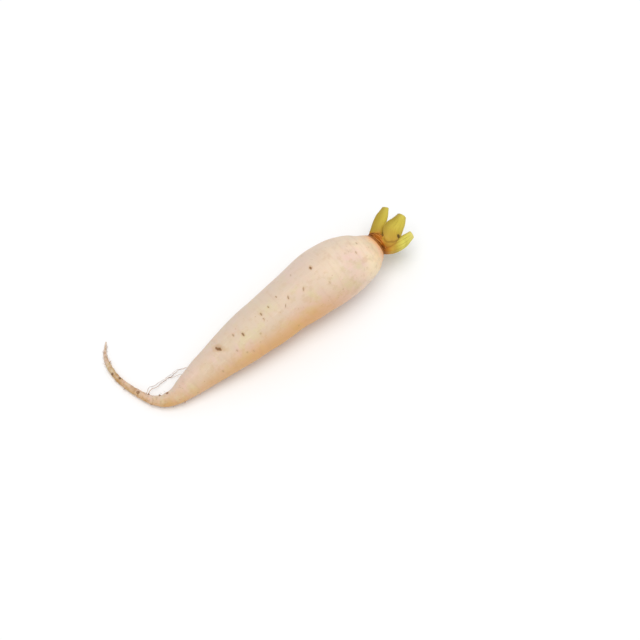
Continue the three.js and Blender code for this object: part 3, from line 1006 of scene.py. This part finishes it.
# path from inside the neck to the cut, from the crown seat; widths and depths from base to cut;
# how far up the brown foot ends, how its rim tilts, how sharp the rim is, how dark the foot is,
# and how green the stalk is
STUBS = {
    "leaf_stub_right": (
        [(1, -3.5, 0), (7.5, -7.8, -0.6), (15, -9.5, -1.4), (24, -9.6, -2.6), (33.2, -8.8, -4)],
        (14, 14, 12.8, 11, 8.6),
        (9, 11.4, 13.6, 12.6, 9),
        (0.34, 0, 0.15, 0, 0.9),
    ),
    "leaf_stub_left": (
        [(1, 3, 0), (7.5, 6, 0.8), (14, 11, 1.8), (22.5, 16.3, 2.6), (30, 22, 3.2)],
        (14, 15, 13.6, 11.4, 8.4),
        (12, 15.4, 14.4, 13.5, 7.8),
        (0.2, 0, 0.1, 0.3, 0.15),
    ),
    "leaf_stub_top": (
        [(2, -3, 2), (9.6, -6.4, 7), (17.8, -1.3, 8.6), (26.4, 1.5, 9.8), (33.6, 4.6, 10.4)],
        (14, 15.2, 18.8, 14.2, 9),
        (7, 8.4, 8.8, 8.6, 7.4),
        (0.3, 0.165, 1, -0.1, 0.2),
    ),
    "leaf_stub_low_left": (
        [(1, 3, -4), (8, 6.8, -8), (15, 11, -10.4), (22, 14.6, -11.4)],
        (13, 13.4, 11, 9),
        (7.4, 9, 8.2, 6.6),
        (0.34, -0.1, 0.7, 0.2, 0.6),
    ),
    "leaf_stub_low_right": (
        [(1, -2.6, -4), (8, -3.8, -8.6), (15, -3.6, -12), (25, -0.6, -13.8)],
        (13, 13.4, 11.6, 8.4),
        (7.4, 9, 8.2, 6.2),
        (0.36, 0.1, 0.5, 0.1, 0.5),
    ),
    "leaf_stub_heart": (
        [(5, 1.4, -0.4), (11, 3, -0.2), (16, 5, 0), (21, 7, 0.4)],
        (7, 8.4, 7.4, 5),
        (6, 7, 6.4, 5),
        (0.2, 0, 0.2, 0, 1),
    ),
}
STUB_SIDES = 96
STUB_ROWS = 80

# the rim of the brown foot and the groove below it, as shares of the stalk's length or width
RIM_WIDTH = 0.02
RIM_HEIGHT = 0.035
GROOVE_DROP = 0.035
GROOVE_WIDTH = 0.026
GROOVE_DEPTH = 0.8  # of the rim's height
FOOT_THINNING = 0.04
RIB_HEIGHT = 0.012

# a dent at one stub's edge, painted dark as a shadow: how far up and across it is, as shares of the
# stalk, its half sizes, and its depth as a share of the stalk's size there
DENTED_STUB = "leaf_stub_top"
DENT_RISE = 0.415
DENT_ACROSS = 0.35
DENT_HALF_LENGTH = 1.7
DENT_HALF_WIDTH = 2.6
DENT_DEPTH = 0.06

# rings of the cut end, from its edge inwards: size as a share of the stalk's, and height
CUT_RINGS = [
    (0.985, 0.25),
    (0.93, 0.42),
    (0.84, 0.36),
    (0.7, 0.12),
    (0.5, -0.1),
    (0.3, -0.2),
    (0.1, -0.22),
]


def stalk_section(turn):
    """Places across the stalk and away from the crown's axis, as shares of width and depth."""
    across = np.cos(turn) / 2
    away = np.sin(turn)
    ribs = 0.02 * np.cos(6 * turn) + 0.008 * np.cos(24 * turn + 1)
    channel = 0.24 * np.maximum(1 - 4 * across**2, 0) ** 1.5
    outer_side = 0.58 * away + ribs * smooth(0, 0.3, away)
    inner_side = 0.42 * away + channel
    return across, np.where(away >= 0, outer_side, inner_side)


def stub_shell(name, path, width, depth, look, seed):
    foot, tilt, sharpness, age, green = look
    last = len(path) - 1
    share = np.linspace(0, 1, STUB_ROWS)
    points = CROWN_SEAT + np.array(path, float)
    here = spline(points, share * last)
    ahead = spline(points, np.minimum(share + 0.02, 1) * last)
    behind = spline(points, np.maximum(share - 0.02, 0) * last)
    along = unit(ahead - behind)
    from_axis = here - CROWN_SEAT
    from_axis = from_axis - crown_axis * (from_axis @ crown_axis)[:, None]
    away = unit(from_axis - along * np.einsum("ij,ij->i", from_axis, along)[:, None])
    across = np.cross(along, away)
    wide = spline(np.array(width, float)[:, None], share * (len(width) - 1))
    deep = spline(np.array(depth, float)[:, None], share * (len(depth) - 1))
    turn = np.arange(STUB_SIDES) * 2 * np.pi / STUB_SIDES
    x, y = stalk_section(turn)
    share = share[:, None] + 0 * turn
    outer = smooth(-0.1, 0.25, y) + 0 * share

    # the foot ends in a curved rim; it is a little thinner than the stalk above
    rim_line = foot + tilt * x + 0.08 * (2 * x) ** 12 + 0.005 * np.sin(17 * x + seed)
    over = share - rim_line
    groove = np.exp(-(((over + GROOVE_DROP) / GROOVE_WIDTH) ** 2))
    rim = sharpness * outer * (np.exp(-((over / RIM_WIDTH) ** 2)) - GROOVE_DEPTH * groove)
    ribs = RIB_HEIGHT * np.sin(26 * turn + 1.5 * np.sin(5 * share + seed)) * smooth(0.1, 0.5, share)
    swell = 0.012 * np.sin(9 * share + seed) + 0.012 * np.sin(3 * turn + 14 * share + seed)
    thinner = FOOT_THINNING * sharpness * outer * smooth(0.0, -0.05, over)
    size = 1 + RIM_HEIGHT * rim + ribs + swell - thinner
    # a shallow dent, which the finish fills with painted shadow
    bruise = np.zeros_like(share)
    if name == DENTED_STUB:
        rise = (share - DENT_RISE) * np.linalg.norm(points[-1] - points[0])
        aside = (x - DENT_ACROSS) * wide
        spread = -((rise / DENT_HALF_LENGTH) ** 2) - (aside / DENT_HALF_WIDTH) ** 2
        bruise = outer * np.exp(spread)
        size = size - DENT_DEPTH * bruise
    rings = (
        here[:, None]
        + across[:, None] * (x * wide * size)[..., None]
        + away[:, None] * (y * deep * size)[..., None]
    )
    outward = across[:, None] * np.cos(turn)[:, None] + away[:, None] * np.sin(turn)[:, None]
    shaded = outward @ crown_side
    middle = rings[-1].mean(0)
    ends = [middle + (rings[-1] - middle) * part + along[-1] * rise for part, rise in CUT_RINGS]
    rings = np.concatenate([rings, ends])
    flat = np.ones((len(ends), STUB_SIDES))
    brown = share / rim_line - age
    share = np.concatenate([share, flat])
    inwards = [[1 - part] * STUB_SIDES for part, _ in CUT_RINGS]
    cut = np.concatenate([np.zeros((STUB_ROWS, STUB_SIDES)), inwards])
    layers = {
        "over": np.concatenate([over, flat]),
        "foot": np.concatenate([brown, flat]),
        "rim": np.concatenate([rim, 0 * flat]),
        "sharpness": sharpness + 0 * share,
        "bruise": np.concatenate([bruise, 0 * flat]),
        "shaded": np.concatenate([shaded, 0 * flat]),
        "green": green + 0 * share,
        "cut": cut,
        "wrap": np.stack([share + seed, np.cos(turn) + 0 * share, np.sin(turn) + 0 * share], -1),
    }
    return rings, layers


LEAF_GREEN = tint(228, 220, 104)
LIGHT_STREAK = tint(222, 202, 86)
DARK_STREAK = tint(160, 130, 30)
GREEN_BLOTCH = tint(174, 160, 48)
PALE_TIP = tint(234, 216, 142)
SHADED_STALK = tint(160, 130, 34)
ABOVE_RIM = tint(192, 142, 48)
GROOVE_SHADE = tint(140, 92, 10)
DENT_SHADOW = tint(96, 72, 2)
CUT_FLESH = tint(224, 216, 156)
CUT_MOTTLE = tint(186, 178, 98)
CUT_STRING = tint(150, 146, 66)
CUT_EDGE = tint(160, 126, 62)


def stalk_green(t):
    wrap = t.kept("wrap", "Vector")
    over = t.kept("over")
    rim = t.kept("rim")
    cut = t.kept("cut")
    place = t.place()
    streaks = t.grain(t.stretched(wrap, 1.6, 7.0, 7.0), 1.0, 4.0, 0.65)
    blotch = t.grain(place, 110.0, 3.0)
    color = t.node(
        "ShaderNodeValToRGB",
        {
            "stops": [
                (0.0, tint(190, 152, 50)),
                (0.14, tint(194, 162, 52)),
                (0.34, tint(204, 180, 60)),
                (0.7, tint(200, 182, 58)),
                (1.0, tint(210, 198, 98)),
            ]
        },
        {"Fac": over + (blotch - 0.5) * 0.2},
    )
    color = t.mix(t.kept("green") * t.step(over, 0.0, 0.3) * 0.8, color, LEAF_GREEN)
    color = t.mix(t.step(streaks, 0.52, 0.74) * 0.4, color, LIGHT_STREAK)
    color = t.mix(t.step(streaks, 0.46, 0.3) * 0.6, color, DARK_STREAK)
    color = t.mix(t.step(blotch, 0.56, 0.72) * 0.4, color, GREEN_BLOTCH)
    color = t.mix(t.kept("green") * t.step(over, 0.4, 0.7) * 0.6, color, PALE_TIP)
    color = t.mix(t.step(t.kept("shaded"), -0.4, 0.7) * 0.75, color, SHADED_STALK)
    foot = t.node(
        "ShaderNodeValToRGB",
        {
            "stops": [
                (0.1, tint(84, 46, 6)),
                (0.3, tint(136, 78, 8)),
                (0.52, tint(178, 108, 20)),
                (0.74, tint(198, 142, 42)),
                (0.94, tint(208, 168, 64)),
            ]
        },
        {"Fac": t.kept("foot") + (streaks - 0.5) * 0.7 + (blotch - 0.5) * 0.4},
    )
    soft = over / (t.kept("sharpness") * 0.9 + 0.1) * 0.1
    color = t.mix(t.step(over + (blotch - 0.5) * 0.1, 0.1, -0.04) * 0.5, color, ABOVE_RIM)
    color = t.mix(t.step(soft + (streaks - 0.5) * 0.03, 0.035, -0.035), color, foot)
    color = t.mix(t.step(rim, -0.08, -0.6) * 0.5, color, GROOVE_SHADE)
    # painted shadow: the dent is near black, as shade in a gap between the stalks
    color = t.mix(t.step(t.kept("bruise") + (streaks - 0.5) * 0.3, 0.25, 0.7), color, DENT_SHADOW)
    face = t.mix(t.step(t.grain(place, 900.0, 2.0), 0.5, 0.62) * 0.4, CUT_FLESH, CUT_MOTTLE)
    strings = t.node("ShaderNodeTexVoronoi", {}, {"Vector": place, "Scale": 520.0, "Randomness": 0.7})
    ring = t.step(cut, 0.12, 0.2) * t.step(cut, 0.62, 0.5)
    face = t.mix(t.step(strings, 0.34, 0.2) * ring * 0.8, face, CUT_STRING)
    lining = t.mix(t.step(cut, 0.02, 0.22), CUT_EDGE, face)
    color = t.mix(t.step(cut, 0.004, 0.03), color, lining)
    height = streaks * 0.8 + t.grain(place, 700.0) * 0.2
    bump = t.node("ShaderNodeBump", {}, {"Strength": 0.45, "Distance": 0.0005, "Height": height})
    return {
        "Base Color": color,
        "Roughness": 0.45 + blotch * 0.2,
        "Specular IOR Level": 0.25,
        "Subsurface Weight": 0.12,
        "Subsurface Radius": (0.8, 0.8, 0.2),
        "Subsurface Scale": 0.002,
        "Normal": bump,
    }


stalk_finish = finish("leaf stalk", stalk_green)
for seed, (name, spec) in enumerate(STUBS.items()):
    mesh = skin_mesh(name + "_stalk", [stub_shell(name, *spec, seed)])
    show(name + "_stalk", mesh, stalk_finish, [name])

# ---- The floor and the light ----
# A plain white sheet under soft light from everywhere, with one broad lamp high over the radish.

FLOOR_HALF = 30.0
FLOOR_CORNERS = [(-1, -1), (1, -1), (1, 1), (-1, 1)]
LAMP_PLACE = Vector((0.1, -0.1, 6.2))
LAMP_SIZE = 5.0
LAMP_POWER = 212
LAMP_COLOR = (1.0, 0.985, 0.955)
SKY_COLOR = (0.93, 0.96, 1.0, 1.0)
SKY_STRENGTH = 0.66
SHEET_WHITE = tint(250, 250, 250)
SHEET_SHADE = tint(246, 246, 247)


def floor_white(t):
    tone = t.grain(t.place(), 3.0)
    color = t.mix(tone * 0.1, SHEET_WHITE, SHEET_SHADE)
    return {"Base Color": color, "Roughness": 0.9, "Specular IOR Level": 0.1}


floor_mesh = bpy.data.meshes.new("floor")
floor_points = [(x * FLOOR_HALF, y * FLOOR_HALF, 0) for x, y in FLOOR_CORNERS]
floor_mesh.from_pydata(floor_points, [], [(0, 1, 2, 3)])
floor_mesh.materials.append(finish("white sheet", floor_white))
floor = bpy.data.objects.new("floor", floor_mesh)
bpy.context.scene.collection.objects.link(floor)

# a square lamp that faces the radish
lamp = bpy.data.lights.new("overhead", "AREA")
lamp.size = LAMP_SIZE
lamp.energy = LAMP_POWER
lamp.color = LAMP_COLOR
overhead = bpy.data.objects.new("overhead", lamp)
overhead.location = LAMP_PLACE
overhead.rotation_mode = "QUATERNION"
overhead.rotation_quaternion = LAMP_PLACE.to_track_quat("Z", "Y")
bpy.context.scene.collection.objects.link(overhead)

world = bpy.data.worlds.new("soft daylight")
bpy.context.scene.world = world
world.use_nodes = True
world_tree = Tree(world.node_tree)
sky = world_tree.node("ShaderNodeBackground", {}, {"Color": SKY_COLOR, "Strength": SKY_STRENGTH})
world_tree.node("ShaderNodeOutputWorld", {}, {"Surface": sky})
bpy.context.scene.view_settings.view_transform = "Standard"
